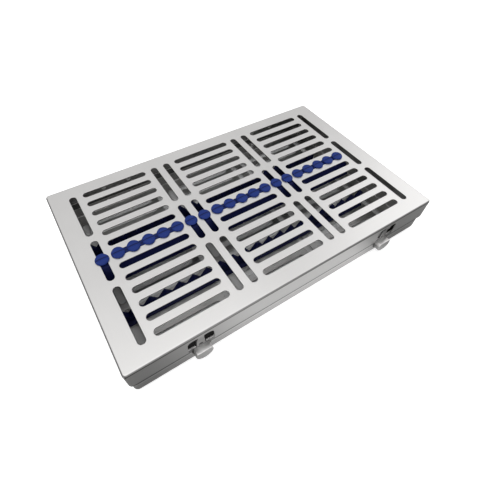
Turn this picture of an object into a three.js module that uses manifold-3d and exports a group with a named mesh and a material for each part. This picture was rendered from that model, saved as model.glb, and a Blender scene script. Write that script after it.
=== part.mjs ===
// A hinged, slotted steel cassette that holds a row of dental instruments on silicone rails.
// Millimetres, +Z up. X runs along the cassette, the latches are at -Y and the hinges at +Y.
// The origin is the middle of the table under it. The tray rails' heads stand on that table.
import * as THREE from "three";
import { mergeVertices } from "three/addons/utils/BufferGeometryUtils.js";
import Module from "manifold-3d";

const wasm = await Module();
wasm.setup();

// The closed case over its sheet metal: the lid's depth, and the tray's wall that shows below it
const caseLength = 288;
const caseWidth = 180;
const lidDepth = 20;
const trayShow = 16;

// Places for instruments and the slots under them, in the lid's top and in the tray's floor
const seatsEachRail = 10;
const seatsBetweenBays = 7;
const seatsInBay = 5;
const columnSeats = [-10, -4, -3, 3, 4, 10];
const rowsEachSide = 6;
const trayRailRow = 3;
const bridgeRow = 2;
const slotWidth = 6;
const slotEndRoom = 3.8;
const columnBridge = 6.3;
const columnBridgeShift = 0.6;
const endMargin = 12.75;
const frontMargin = 13.5;

// Sheet metal
const sheet = 0.9;
const rimLap = 2;
const rimGap = 0.3;
const lidEdgeRadius = 1.7;
const trayEdgeRadius = 2.6;
const cornerExtra = 0.35;
const cornerSlit = 0.5;
const cornerReliefRadius = 1.1;

// Air between pieces that rest on each other, between a shaft and its hole, and past a cut
const seatGap = 0.2;
const shaftGap = 0.3;
const overrun = 1;

// Silicone rails
const railSplitGap = 0.3;
const railEndLand = 1.4;
const toothTip = 0.8;
const seatDepth = 3.5;
const trayRailHeight = 14;
const trayRailWidth = 5;
const trayRailFootWidth = 12;
const trayRailFootHeight = 2.2;
const lidRailDepth = 14.4;
const lidRailRootWidth = 14;
const lidRailPadWidth = 27;
const lidRailPadEdge = 2.5;
const studRibProud = 0.5;
const studHeadLap = 1.6;
const lidStudHeight = 2.4;
const footHeight = 1.6;

// Latches in the front wall
const latchEndRoom = 53;
const archWidth = 20.4;
const archTopBelowLid = 4.6;
const archTopRadius = 4.5;
const archFlare = 2.8;
const tongueRootWidth = 5;
const tongueTipWidth = 6.6;
const tongueTipBelowRim = 0.9;
const tongueJoggleDrop = 3;
const tongueJoggleRun = 1.7;
const tongueSideGap = 0.45;
const lipRadius = 1.3;
const windowFloorRoom = 3.2;
const windowFlatShare = 0.58;
const buttonGap = 0.6;
const buttonEdgeRadius = 1.1;
const buttonProud = 4.2;
const catchBelowRim = 0.8;
const catchPlay = 0.6;
const catchWindowHeight = 2.2;
const catchWindowWidth = 3.4;
const springThickness = 0.6;
const springReach = 30;
const springRootLength = 2;
const springTipLength = 6;
const springHeight = 8;
const springNeck = 2;
const springArmWidth = 6;
const springArmSetback = 1;
const noseTip = 0.4;
const noseRamp = 1.8;

// Butt hinges on the back wall
const hingeEndRoom = 60;
const hingeLength = 38;
const hingeMiddleLength = 18;
const hingeFloorRoom = 3.5;
const knuckleRadius = 2;
const leafThickness = 0.8;
const pinHeadLap = 0.5;
const pinHeadLength = 0.8;
const leafJoggleRun = 1.6;
const rivetEndRoom = 7;
const rivetRadius = 1.5;
const rivetHeadRadius = 2.6;
const rivetHeadHeight = 1.2;
const rivetTailRadius = 2.3;
const rivetTailHeight = 0.7;

// Facets
const lidSlotSteps = 3;
const traySlotSteps = 2;
const cornerSteps = 3;
const edgeSteps = 3;
const filletSteps = 3;
const seatSteps = 5;
const studSides = 8;
const shaftSides = 10;
const rivetSides = 8;
const buttonSteps = 14;

// Overall sizes, levels and faces that follow from the sizes above
const halfLength = caseLength / 2;
const halfWidth = caseWidth / 2;
const seatColumns = 2 * seatsEachRail + 1;
const seatPitch = (caseLength - 2 * endMargin) / seatColumns;
const bayPitch = seatsBetweenBays * seatPitch;
const bayReach = ((seatsInBay - 1) * seatPitch) / 2;
const slotReach = halfWidth - frontMargin;
const rowPitch = (slotReach - slotWidth / 2) / rowsEachSide;
const latchOffset = halfLength - latchEndRoom;
const hingeOffset = halfLength - hingeEndRoom;
const inset = sheet + rimGap;
const trayFace = halfWidth - inset;
const trayInside = trayFace - sheet;
const trayUnder = seatGap + footHeight;
const trayFloor = trayUnder + sheet;
const lidRim = trayUnder + trayShow;
const trayRim = lidRim + rimLap;
const lidTop = lidRim + lidDepth;
const lidUnder = lidTop - sheet;
const archTop = lidTop - archTopBelowLid;
const tongueTip = lidRim - tongueTipBelowRim;
const buttonTop = tongueTip - buttonGap;
const catchLevel = trayRim - catchBelowRim;
const catchWindowMiddle = catchLevel - catchPlay + catchWindowHeight / 2;
const studNeckWidth = slotWidth - 2 * shaftGap;
const studHeadRadius = slotWidth / 2 + studHeadLap;

// Hinge places, from the knuckles that lie against the lid's wall at its rim
const hingeAxisY = halfWidth + seatGap + knuckleRadius;
const hingeAxisZ = lidRim;
const hingeLeafHeight = trayShow - hingeFloorRoom;
const boreRadius = knuckleRadius - leafThickness;
const pinRadius = boreRadius - seatGap;
const leafInner = halfWidth + seatGap;
const leafOuter = leafInner + leafThickness;
const trayLeafInner = trayFace + seatGap;
const trayLeafOuter = trayLeafInner + leafThickness;
const leafStepHigh = hingeAxisZ - knuckleRadius;
const leafStepLow = leafStepHigh - leafJoggleRun;
const leafFlatTop = leafStepLow - leafThickness / 2;
const rivetDrop = (hingeAxisZ - leafFlatTop + hingeLeafHeight) / 2;
const rivetSpread = hingeLength - 2 * rivetEndRoom;

const satinSteel = new THREE.MeshStandardMaterial({ color: 0xd9d8d4, roughness: 0.35, metalness: 0.9 });
const brightSteel = new THREE.MeshStandardMaterial({ color: 0xc9c8c5, roughness: 0.25, metalness: 1 });
const springSteel = new THREE.MeshStandardMaterial({ color: 0xa9a9a8, roughness: 0.35, metalness: 1 });
const blueSilicone = new THREE.MeshStandardMaterial({ color: 0x2b3f96, roughness: 0.55, metalness: 0 });

// A closed geometry as a solid that can be joined and cut.
function solidOf(geometry) {
  const bare = geometry.clone();
  bare.deleteAttribute("normal");
  bare.deleteAttribute("uv");
  const merged = mergeVertices(bare);
  return new wasm.Manifold(
    new wasm.Mesh({
      numProp: 3,
      vertProperties: merged.attributes.position.array,
      triVerts: new Uint32Array(merged.index.array),
    }),
  );
}

function joined(geometries) {
  return geometries.map(solidOf).reduce((whole, next) => whole.add(next));
}

function namedMesh(name, solid, material) {
  const { numProp, vertProperties, triVerts } = solid.getMesh();
  const corners = new THREE.InterleavedBuffer(vertProperties, numProp);
  const geometry = new THREE.BufferGeometry();
  geometry.setAttribute("position", new THREE.InterleavedBufferAttribute(corners, 3, 0));
  geometry.setIndex(new THREE.BufferAttribute(triVerts, 1));
  const faceted = geometry.toNonIndexed();
  faceted.computeVertexNormals();
  const mesh = new THREE.Mesh(faceted, material);
  mesh.name = name;
  return mesh;
}

function moved(geometry, x, y, z) {
  return geometry.clone().translate(x, y, z);
}

function outlineOf(points) {
  return new THREE.Shape(points.map(([across, up]) => new THREE.Vector2(across, up)));
}

function extruded(outline, depth, curveSegments) {
  return new THREE.ExtrudeGeometry(outline, { depth, bevelEnabled: false, curveSegments });
}

// An outline drawn in X and Y, carried up from one height to another.
function alongZ(outline, low, high, steps) {
  return extruded(outline, high - low, steps).translate(0, 0, low);
}

// An outline drawn in Y and Z, carried along X.
function alongX(outline, low, high) {
  const turn = new THREE.Matrix4().makeBasis(
    new THREE.Vector3(0, 1, 0),
    new THREE.Vector3(0, 0, 1),
    new THREE.Vector3(1, 0, 0),
  );
  return extruded(outline, high - low, filletSteps).applyMatrix4(turn).translate(low, 0, 0);
}

// An outline drawn in X and Z, carried along Y.
function alongY(outline, low, high) {
  return extruded(outline, high - low, filletSteps).rotateX(Math.PI / 2).translate(0, high, 0);
}

function block(lowX, highX, lowY, highY, lowZ, highZ) {
  const box = new THREE.BoxGeometry(highX - lowX, highY - lowY, highZ - lowZ);
  return box.translate((lowX + highX) / 2, (lowY + highY) / 2, (lowZ + highZ) / 2);
}

// Revolved profiles of [radius, station] pairs that start and end on the axis, by rising station.
function turnedAlongZ(profile, sides) {
  const points = profile.map(([radius, station]) => new THREE.Vector2(radius, station));
  return new THREE.LatheGeometry(points, sides).rotateX(Math.PI / 2);
}

function turnedAlongX(profile, sides) {
  return turnedAlongZ(profile, sides).rotateY(Math.PI / 2);
}

function turnedAlongY(profile, sides) {
  return turnedAlongZ(profile, sides).rotateX(-Math.PI / 2);
}

function rod(radius, low, high) {
  return [
    [0, low],
    [radius, low],
    [radius, high],
    [0, high],
  ];
}

// A closed skin through loops that have equal numbers of points and lie one past the next.
function lofted(loops) {
  const count = loops[0].length;
  const positions = loops.flatMap((loop) => loop.flatMap((point) => point.toArray()));
  const index = [];
  for (let level = 0; level + 1 < loops.length; level++) {
    for (let i = 0; i < count; i++) {
      const a = level * count + i;
      const b = level * count + ((i + 1) % count);
      index.push(a, b, b + count, a, b + count, a + count);
    }
  }
  const last = (loops.length - 1) * count;
  for (let i = 1; i + 1 < count; i++) {
    index.push(0, i + 1, i, last, last + i, last + i + 1);
  }
  const geometry = new THREE.BufferGeometry();
  geometry.setAttribute("position", new THREE.Float32BufferAttribute(positions, 3));
  geometry.setIndex(index);
  return geometry;
}

function roundedRectangle(halfX, halfY, radius, height) {
  const centres = [
    [halfX - radius, halfY - radius],
    [radius - halfX, halfY - radius],
    [radius - halfX, radius - halfY],
    [halfX - radius, radius - halfY],
  ];
  return centres.flatMap(([x, y], quarter) =>
    Array.from({ length: cornerSteps + 1 }, (_, step) => {
      const angle = ((quarter + step / cornerSteps) * Math.PI) / 2;
      return new THREE.Vector3(x + radius * Math.cos(angle), y + radius * Math.sin(angle), height);
    }),
  );
}

// A block with round corners whose closed face, at closedHeight, also has a round edge.
function softBlock(halfX, halfY, edgeRadius, closedHeight, openHeight) {
  const inwards = Math.sign(openHeight - closedHeight);
  const cornerRadius = edgeRadius + cornerExtra;
  const loops = [];
  for (let step = 0; step <= edgeSteps; step++) {
    const angle = ((step / edgeSteps) * Math.PI) / 2;
    const drawnIn = edgeRadius * (1 - Math.sin(angle));
    const height = closedHeight + inwards * edgeRadius * (1 - Math.cos(angle));
    loops.push(roundedRectangle(halfX - drawnIn, halfY - drawnIn, cornerRadius - drawnIn, height));
  }
  loops.push(roundedRectangle(halfX, halfY, cornerRadius, openHeight));
  return lofted(inwards > 0 ? loops : loops.reverse());
}

// A folded, open box: a panel at closedHeight with walls that end at rimHeight.
function foldedBox(halfX, halfY, edgeRadius, closedHeight, rimHeight) {
  const inwards = Math.sign(rimHeight - closedHeight);
  const outside = softBlock(halfX, halfY, edgeRadius, closedHeight, rimHeight);
  const hollow = softBlock(
    halfX - sheet,
    halfY - sheet,
    edgeRadius - sheet,
    closedHeight + inwards * sheet,
    rimHeight + inwards * overrun,
  );
  return solidOf(outside).subtract(solidOf(hollow));
}

// A slot with round ends, as long as its longer side and as wide as its shorter one.
function slotOutline(lengthX, lengthY) {
  const radius = Math.min(lengthX, lengthY) / 2;
  const reachX = lengthX / 2 - radius;
  const reachY = lengthY / 2 - radius;
  const start = reachX > 0 ? -Math.PI / 2 : 0;
  const outline = new THREE.Shape();
  outline.absarc(reachX, reachY, radius, start, start + Math.PI, false);
  outline.absarc(-reachX, -reachY, radius, start + Math.PI, start + 2 * Math.PI, false);
  return outline;
}

// The pattern of slots: rows in three bays, and columns in three pieces between and beside them.
function slotCutters(low, high, steps) {
  const cutters = [];
  const rowCutter = alongZ(slotOutline(2 * (bayReach + slotEndRoom), slotWidth), low, high, steps);
  for (let bay = -1; bay <= 1; bay++) {
    for (let row = -rowsEachSide; row <= rowsEachSide; row++) {
      cutters.push(moved(rowCutter, bay * bayPitch, row * rowPitch, 0));
    }
  }
  const bridge = bridgeRow * rowPitch - columnBridgeShift;
  const outerStart = bridge + columnBridge / 2;
  const middleCutter = alongZ(slotOutline(slotWidth, 2 * bridge - columnBridge), low, high, steps);
  const outerCutter = alongZ(slotOutline(slotWidth, slotReach - outerStart), low, high, steps);
  for (const seat of columnSeats) {
    cutters.push(moved(middleCutter, seat * seatPitch, 0, 0));
    for (const side of [-1, 1]) {
      cutters.push(moved(outerCutter, seat * seatPitch, (side * (slotReach + outerStart)) / 2, 0));
    }
  }
  return cutters;
}

// A notch with flared corners at its mouth and round ones at its end, around X = 0.
function notchOutline(width, mouth, end, flare, endRadius) {
  const side = width / 2;
  const inwards = Math.sign(end - mouth);
  const outline = new THREE.Shape();
  outline.moveTo(-side - flare, mouth - inwards * overrun);
  outline.lineTo(-side - flare, mouth);
  outline.quadraticCurveTo(-side, mouth, -side, mouth + inwards * flare);
  outline.lineTo(-side, end - inwards * endRadius);
  outline.quadraticCurveTo(-side, end, -side + endRadius, end);
  outline.lineTo(side - endRadius, end);
  outline.quadraticCurveTo(side, end, side, end - inwards * endRadius);
  outline.lineTo(side, mouth + inwards * flare);
  outline.quadraticCurveTo(side, mouth, side + flare, mouth);
  outline.lineTo(side + flare, mouth - inwards * overrun);
  return outline;
}

// The tray's window for a button, a circle cut flat on top, or the same outline drawn in by a gap.
function windowPoints(drawnIn) {
  const low = trayUnder + windowFloorRoom;
  const fullRadius = (tongueTip - low) / (1 + windowFlatShare);
  const centre = low + fullRadius;
  const radius = fullRadius - drawnIn;
  const flatAngle = Math.asin((tongueTip - drawnIn - centre) / radius);
  const sweep = Math.PI + 2 * flatAngle;
  return Array.from({ length: buttonSteps + 1 }, (_, step) => {
    const angle = Math.PI - flatAngle + (step / buttonSteps) * sweep;
    return [radius * Math.cos(angle), centre + radius * Math.sin(angle)];
  });
}

// The strip that hangs in an arch, steps in to the tray's wall and is caught through its window.
function latchTongue(middle) {
  const front = -halfWidth;
  const back = front + inset + sheet;
  const joggleStart = archTop - tongueJoggleDrop;
  const joggleEnd = joggleStart - tongueJoggleRun;
  const root = archTop + sheet;
  const section = outlineOf([
    [front, root],
    [front, joggleStart],
    [front + inset, joggleEnd],
    [front + inset, tongueTip],
    [back, tongueTip],
    [back, joggleEnd],
    [front + sheet, joggleStart],
    [front + sheet, root],
  ]);
  const tipSide = tongueTipWidth / 2;
  const rootSide = tongueRootWidth / 2;
  const taperStart = catchWindowMiddle + tipSide;
  const face = outlineOf([
    [-tipSide, tongueTip - overrun],
    [tipSide, tongueTip - overrun],
    [tipSide, taperStart],
    [rootSide, joggleStart],
    [rootSide, root + overrun],
    [-rootSide, root + overrun],
    [-rootSide, joggleStart],
    [-tipSide, taperStart],
  ]);
  const strip = alongX(section, -tipSide, tipSide);
  const sides = alongY(face, front - overrun, back + overrun);
  const window = alongY(slotOutline(catchWindowWidth, catchWindowHeight), front - overrun, back + overrun);
  return solidOf(moved(strip, middle, 0, 0))
    .intersect(solidOf(moved(sides, middle, 0, 0)))
    .subtract(solidOf(moved(window, middle, 0, catchWindowMiddle)));
}

function rivetHoles(hingeMiddle, low, high, height) {
  const hole = turnedAlongY(rod(rivetRadius + shaftGap, low - overrun, high + overrun), rivetSides);
  return [-1, 1].map((end) => moved(hole, hingeMiddle + (end * rivetSpread) / 2, 0, height));
}

// Open slits beside the front and back skirts, each ending in a round relief under the top.
function cornerOpenings() {
  const slitMiddle = halfWidth - sheet - cornerSlit / 2;
  const reliefHeight = lidTop - lidEdgeRadius - cornerReliefRadius / 2;
  const inner = halfLength - sheet - overrun;
  const outer = halfLength + overrun;
  const openings = [];
  for (const sideX of [-1, 1]) {
    const low = Math.min(sideX * inner, sideX * outer);
    const high = Math.max(sideX * inner, sideX * outer);
    const slit = block(low, high, -cornerSlit / 2, cornerSlit / 2, lidRim - overrun, reliefHeight);
    const relief = turnedAlongX(rod(cornerReliefRadius, low, high), rivetSides);
    for (const sideY of [-1, 1]) {
      openings.push(moved(slit, 0, sideY * slitMiddle, 0));
      openings.push(moved(relief, 0, sideY * slitMiddle, reliefHeight));
    }
  }
  return openings;
}

function lidSheet() {
  const arch = alongY(
    notchOutline(archWidth, lidRim, archTop, archFlare, archTopRadius),
    -halfWidth - overrun,
    sheet + overrun - halfWidth,
  );
  const cuts = [
    ...slotCutters(lidUnder - overrun, lidTop + overrun, lidSlotSteps),
    ...cornerOpenings(),
    moved(arch, -latchOffset, 0, 0),
    moved(arch, latchOffset, 0, 0),
    ...rivetHoles(-hingeOffset, halfWidth - sheet, halfWidth, hingeAxisZ + rivetDrop),
    ...rivetHoles(hingeOffset, halfWidth - sheet, halfWidth, hingeAxisZ + rivetDrop),
  ];
  return foldedBox(halfLength, halfWidth, lidEdgeRadius, lidTop, lidRim)
    .subtract(joined(cuts))
    .add(latchTongue(-latchOffset))
    .add(latchTongue(latchOffset));
}

function traySheet() {
  const front = -trayFace - overrun;
  const inside = overrun - trayInside;
  const throatWidth = tongueTipWidth + 2 * tongueSideGap;
  const window = alongY(outlineOf(windowPoints(0)), front, inside);
  const throatOutline = notchOutline(throatWidth, trayRim, tongueTip - overrun, lipRadius, 0);
  const throat = alongY(throatOutline, front, inside);
  const cuts = [
    ...slotCutters(trayUnder - overrun, trayFloor + overrun, traySlotSteps),
    ...rivetHoles(-hingeOffset, trayInside, trayFace, hingeAxisZ - rivetDrop),
    ...rivetHoles(hingeOffset, trayInside, trayFace, hingeAxisZ - rivetDrop),
  ];
  for (const side of [-1, 1]) {
    cuts.push(moved(window, side * latchOffset, 0, 0), moved(throat, side * latchOffset, 0, 0));
  }
  return foldedBox(halfLength - inset, trayFace, trayEdgeRadius, trayUnder, trayRim).subtract(joined(cuts));
}

// The places of one rail length, counted from the middle column, and its ends half a pitch past them.
function railSeats(side) {
  const first = side < 0 ? -seatsEachRail : 0;
  return Array.from({ length: seatsEachRail }, (_, i) => (first + i) * seatPitch);
}

function railEnds(seats) {
  const reach = (seatPitch - railSplitGap) / 2;
  return [seats[0] - reach, seats[seats.length - 1] + reach];
}

// The toothed edge: each seat is a round hollow between pointed teeth, and the end teeth are wider.
function toothedOutline(seats, base, tips) {
  const [start, end] = railEnds(seats);
  const plainHalf = (seatPitch - toothTip) / 2;
  const outline = [
    [end, base],
    [start, base],
    [start, tips],
  ];
  for (const seat of seats) {
    const left = Math.max(seat - plainHalf, start + railEndLand);
    const right = Math.min(seat + plainHalf, end - railEndLand);
    for (let step = 0; step <= seatSteps; step++) {
      const across = step / seatSteps;
      outline.push([left + (right - left) * across, tips - seatDepth * Math.sin(across * Math.PI)]);
    }
  }
  outline.push([end, tips]);
  return outlineOf(outline);
}

// A head's section outside its neck, as shares of its radius and height from the crown outwards.
const domedHeadShares = [
  [0, 1],
  [0.45, 1],
  [0.86, 0.68],
  [1, 0],
];
const flatHeadShares = [
  [0, 1],
  [0.9, 1],
  [1, 0],
];

// Stud necks and heads through the slots over or under a rail, with the rib that joins the necks
// of one bay. Up is 1 where the studs leave through the lid and -1 where they leave downwards.
function studs(seats, root, sheetFace, headHeight, headShares, up) {
  const [start, end] = railEnds(seats);
  const headFace = sheetFace + up * seatGap;
  const profile = [
    ...headShares.map(([out, rise]) => [studHeadRadius * out, headFace + up * headHeight * rise]),
    [studNeckWidth / 2, headFace],
    [studNeckWidth / 2, root],
    [0, root],
  ];
  const stud = turnedAlongZ(up > 0 ? profile.reverse() : profile, studSides);
  const pieces = seats.map((x) => moved(stud, x, 0, 0));
  const ribTop = sheetFace + up * studRibProud;
  const side = studNeckWidth / 2;
  for (let bay = -1; bay <= 1; bay++) {
    const left = Math.max(bay * bayPitch - bayReach, start);
    const right = Math.min(bay * bayPitch + bayReach, end);
    if (right > left) {
      pieces.push(block(left, right, -side, side, Math.min(root, ribTop), Math.max(root, ribTop)));
    }
  }
  return pieces;
}

// A tray rail: a toothed web on a wider foot, with studs through the floor.
function trayRail(side) {
  const seats = railSeats(side);
  const [start, end] = railEnds(seats);
  const base = trayFloor + seatGap;
  const shoulder = base + trayRailFootHeight / 2;
  const web = toothedOutline(seats, base, trayFloor + trayRailHeight);
  const foot = outlineOf([
    [-trayRailFootWidth / 2, base],
    [trayRailFootWidth / 2, base],
    [trayRailFootWidth / 2, shoulder],
    [trayRailWidth / 2, base + trayRailFootHeight],
    [-trayRailWidth / 2, base + trayRailFootHeight],
    [-trayRailFootWidth / 2, shoulder],
  ]);
  return joined([
    alongY(web, -trayRailWidth / 2, trayRailWidth / 2),
    alongX(foot, start, end),
    ...studs(seats, shoulder, trayUnder, footHeight, flatHeadShares, -1),
  ]);
}

// The lid rail: a bar that widens downwards to a pad, with studs through the lid.
function lidRail(side) {
  const seats = railSeats(side);
  const [start, end] = railEnds(seats);
  const top = lidUnder - seatGap;
  const bottom = top - lidRailDepth;
  const section = outlineOf([
    [-lidRailRootWidth / 2, top],
    [-lidRailPadWidth / 2, bottom + lidRailPadEdge],
    [(lidRailPadEdge - lidRailPadWidth) / 2, bottom],
    [(lidRailPadWidth - lidRailPadEdge) / 2, bottom],
    [lidRailPadWidth / 2, bottom + lidRailPadEdge],
    [lidRailRootWidth / 2, top],
  ]);
  return joined([
    alongX(section, start, end),
    ...studs(seats, top - lidRailPadEdge, lidTop, lidStudHeight, domedHeadShares, 1),
  ]);
}

// A push button whose front edge is rounded. Its back rests on the spring.
function pushButton() {
  const back = -trayInside;
  const front = -halfWidth - buttonProud;
  const easeShare = 0.3;
  const stations = [
    [back, 0],
    [front + buttonEdgeRadius, 0],
    [front + buttonEdgeRadius * easeShare, buttonEdgeRadius * easeShare],
    [front, buttonEdgeRadius],
  ];
  const loops = stations.map(([y, drawnIn]) =>
    windowPoints(buttonGap + drawnIn).map(([x, z]) => new THREE.Vector3(x, y, z)),
  );
  return solidOf(lofted(loops));
}

// The leaf spring: a flat strip along the wall, fixed at its root, with an arm that rises behind
// the tongue, stands back, and ends in the catch nose. Towards is the way to its root.
function latchSpring(towards) {
  const front = -trayInside + seatGap;
  const back = front + springThickness;
  const stripLow = buttonTop - springHeight;
  const root = towards * (springReach + springRootLength);
  const shoulder = towards * (springTipLength + springNeck);
  const strip = outlineOf([
    [root, stripLow + springNeck],
    [root, buttonTop - springNeck],
    [shoulder, buttonTop - springNeck],
    [towards * springTipLength, buttonTop],
    [-towards * springTipLength, buttonTop],
    [-towards * springTipLength, stripLow],
    [towards * springTipLength, stripLow],
    [shoulder, stripLow + springNeck],
  ]);
  const noseFront = -trayInside + shaftGap;
  const setFront = front + springArmSetback;
  const setBack = back + springArmSetback;
  const arm = outlineOf([
    [front, buttonTop - springThickness],
    [front, buttonTop + seatGap],
    [setFront, buttonTop + seatGap + springArmSetback],
    [setFront, catchLevel],
    [noseFront, catchLevel],
    [noseFront, catchLevel + noseTip],
    [setFront, catchLevel + noseTip + noseRamp],
    [setBack, catchLevel + noseTip + noseRamp],
    [setBack, buttonTop - seatGap + springArmSetback],
    [back, buttonTop - seatGap],
    [back, buttonTop - springThickness],
  ]);
  return joined([alongY(strip, front, back), alongX(arm, -springArmWidth / 2, springArmWidth / 2)]);
}

function hingeBarrel(radius, low, high) {
  return moved(turnedAlongX(rod(radius, low, high), shaftSides), 0, hingeAxisY, hingeAxisZ);
}

function hingeBore() {
  const reach = hingeLength / 2 + overrun;
  return hingeBarrel(boreRadius, -reach, reach);
}

// The lid's leaf: a plate above the axis and one knuckle in the middle.
function lidLeaf() {
  const end = hingeLength / 2;
  const middle = hingeMiddleLength / 2;
  const plateLow = hingeAxisZ + knuckleRadius + shaftGap;
  const plateHigh = hingeAxisZ + hingeLeafHeight;
  const cuts = [hingeBore(), ...rivetHoles(0, leafInner, leafOuter, hingeAxisZ + rivetDrop)];
  return joined([
    block(-end, end, leafInner, leafOuter, plateLow, plateHigh),
    block(-middle, middle, leafInner, leafOuter, hingeAxisZ, plateHigh),
    hingeBarrel(knuckleRadius, -middle, middle),
  ]).subtract(joined(cuts));
}

// The tray's leaf: a plate on the tray's wall that steps out to two outer knuckles.
function trayLeaf() {
  const end = hingeLength / 2;
  const middle = hingeMiddleLength / 2 + shaftGap;
  const plateLow = hingeAxisZ - hingeLeafHeight;
  const section = outlineOf([
    [trayLeafInner, plateLow],
    [trayLeafOuter, plateLow],
    [trayLeafOuter, leafFlatTop],
    [leafOuter, leafStepHigh - leafThickness / 2],
    [leafOuter, hingeAxisZ],
    [leafInner, hingeAxisZ],
    [leafInner, leafStepHigh],
    [trayLeafInner, leafStepLow],
  ]);
  const cuts = [hingeBore(), ...rivetHoles(0, trayLeafInner, trayLeafOuter, hingeAxisZ - rivetDrop)];
  return joined([
    block(-end, end, trayLeafInner, trayLeafOuter, plateLow, leafFlatTop),
    alongX(section, -end, -middle),
    alongX(section, middle, end),
    hingeBarrel(knuckleRadius, -end, -middle),
    hingeBarrel(knuckleRadius, middle, end),
  ]).subtract(joined(cuts));
}

function hingePin() {
  const reach = hingeLength / 2 + seatGap;
  const headRadius = boreRadius + pinHeadLap;
  const profile = [
    [0, -reach - pinHeadLength],
    [headRadius, -reach - pinHeadLength],
    [headRadius, -reach],
    [pinRadius, -reach],
    [pinRadius, reach],
    [headRadius, reach],
    [headRadius, reach + pinHeadLength],
    [0, reach + pinHeadLength],
  ];
  return solidOf(moved(turnedAlongX(profile, shaftSides), 0, hingeAxisY, hingeAxisZ));
}

// A rivet along Y: a flat tail inside the wall and a domed head outside the leaf.
function hingeRivet(wallInside, leafFace) {
  const tailFace = wallInside - seatGap;
  const headFace = leafFace + seatGap;
  const shoulderShare = 0.72;
  const shoulderRiseShare = 0.68;
  const profile = [
    [0, tailFace - rivetTailHeight],
    [rivetTailRadius, tailFace - rivetTailHeight],
    [rivetTailRadius, tailFace],
    [rivetRadius, tailFace],
    [rivetRadius, headFace],
    [rivetHeadRadius, headFace],
    [rivetHeadRadius * shoulderShare, headFace + rivetHeadHeight * shoulderRiseShare],
    [0, headFace + rivetHeadHeight],
  ];
  return solidOf(turnedAlongY(profile, rivetSides));
}

// One hinge: its two leaves, its pin and two rivets in each leaf. Side is the cassette's half.
function hinge(word, side) {
  const group = new THREE.Group();
  group.add(namedMesh(word + "_hinge_lid_leaf", lidLeaf(), brightSteel));
  group.add(namedMesh(word + "_hinge_tray_leaf", trayLeaf(), brightSteel));
  group.add(namedMesh(word + "_hinge_pin", hingePin(), brightSteel));
  const leaves = [
    ["lid", hingeRivet(halfWidth - sheet, leafOuter), hingeAxisZ + rivetDrop],
    ["tray", hingeRivet(trayInside, trayLeafOuter), hingeAxisZ - rivetDrop],
  ];
  const ends = [
    ["outer", side],
    ["inner", -side],
  ];
  for (const [leaf, rivet, height] of leaves) {
    for (const [place, across] of ends) {
      const mesh = namedMesh(word + "_hinge_" + leaf + "_rivet_" + place, rivet, brightSteel);
      mesh.position.set((across * rivetSpread) / 2, 0, height);
      group.add(mesh);
    }
  }
  return group;
}

function latch(word, side) {
  const group = new THREE.Group();
  group.add(namedMesh(word + "_latch_button", pushButton(), brightSteel));
  group.add(namedMesh(word + "_latch_spring", latchSpring(-side), springSteel));
  return group;
}

function trayRailMesh(place, word, side, row) {
  const rail = namedMesh(place + "_tray_rail_" + word, trayRail(side), blueSilicone);
  rail.position.y = row * rowPitch;
  return rail;
}

const cassette = new THREE.Group();
cassette.add(namedMesh("lid", lidSheet(), satinSteel));
cassette.add(namedMesh("tray", traySheet(), satinSteel));
const halves = [
  ["left", -1],
  ["right", 1],
];
for (const [word, side] of halves) {
  cassette.add(namedMesh("lid_rail_" + word, lidRail(side), blueSilicone));
  cassette.add(trayRailMesh("front", word, side, -trayRailRow));
  cassette.add(trayRailMesh("back", word, side, trayRailRow));
  const sideLatch = latch(word, side);
  sideLatch.position.x = side * latchOffset;
  const sideHinge = hinge(word, side);
  sideHinge.position.x = side * hingeOffset;
  cassette.add(sideLatch, sideHinge);
}

export default cassette;
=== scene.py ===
import math

import bmesh
import bpy
import numpy as np
from mathutils import Matrix, Quaternion, Vector
from mathutils.geometry import delaunay_2d_cdt


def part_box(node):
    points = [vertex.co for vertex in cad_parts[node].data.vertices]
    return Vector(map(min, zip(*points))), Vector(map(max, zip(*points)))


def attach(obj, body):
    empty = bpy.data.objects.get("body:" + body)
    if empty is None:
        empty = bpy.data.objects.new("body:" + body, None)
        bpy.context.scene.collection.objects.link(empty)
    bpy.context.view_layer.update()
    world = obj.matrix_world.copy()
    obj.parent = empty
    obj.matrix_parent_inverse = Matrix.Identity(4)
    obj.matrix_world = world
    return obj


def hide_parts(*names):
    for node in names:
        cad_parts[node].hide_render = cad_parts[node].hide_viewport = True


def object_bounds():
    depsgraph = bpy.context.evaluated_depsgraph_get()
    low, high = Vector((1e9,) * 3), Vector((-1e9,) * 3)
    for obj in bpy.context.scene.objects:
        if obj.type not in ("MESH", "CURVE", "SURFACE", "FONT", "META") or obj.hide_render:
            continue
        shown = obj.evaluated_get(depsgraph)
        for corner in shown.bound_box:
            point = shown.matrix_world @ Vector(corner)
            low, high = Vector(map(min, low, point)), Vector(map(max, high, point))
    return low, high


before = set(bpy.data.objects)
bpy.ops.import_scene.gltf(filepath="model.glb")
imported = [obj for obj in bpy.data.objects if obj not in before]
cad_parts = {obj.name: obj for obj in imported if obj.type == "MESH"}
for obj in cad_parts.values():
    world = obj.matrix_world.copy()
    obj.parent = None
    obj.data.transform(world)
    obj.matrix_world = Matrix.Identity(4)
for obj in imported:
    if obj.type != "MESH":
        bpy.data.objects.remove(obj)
cad_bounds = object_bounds()

MM = 0.001
WELD = 1e-6
SHARP_ANGLE = 50
SMOOTH_ANGLE = 40
NORMAL_WEIGHT = 80


def box_of(node):
    """A node's lowest and highest corners in millimetres."""
    low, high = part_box(node)
    return np.array(low) / MM, np.array(high) / MM


lid_low, lid_high = box_of("lid")
tray_low, tray_high = box_of("tray")
case_top = cad_bounds[1][2] / MM

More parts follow.
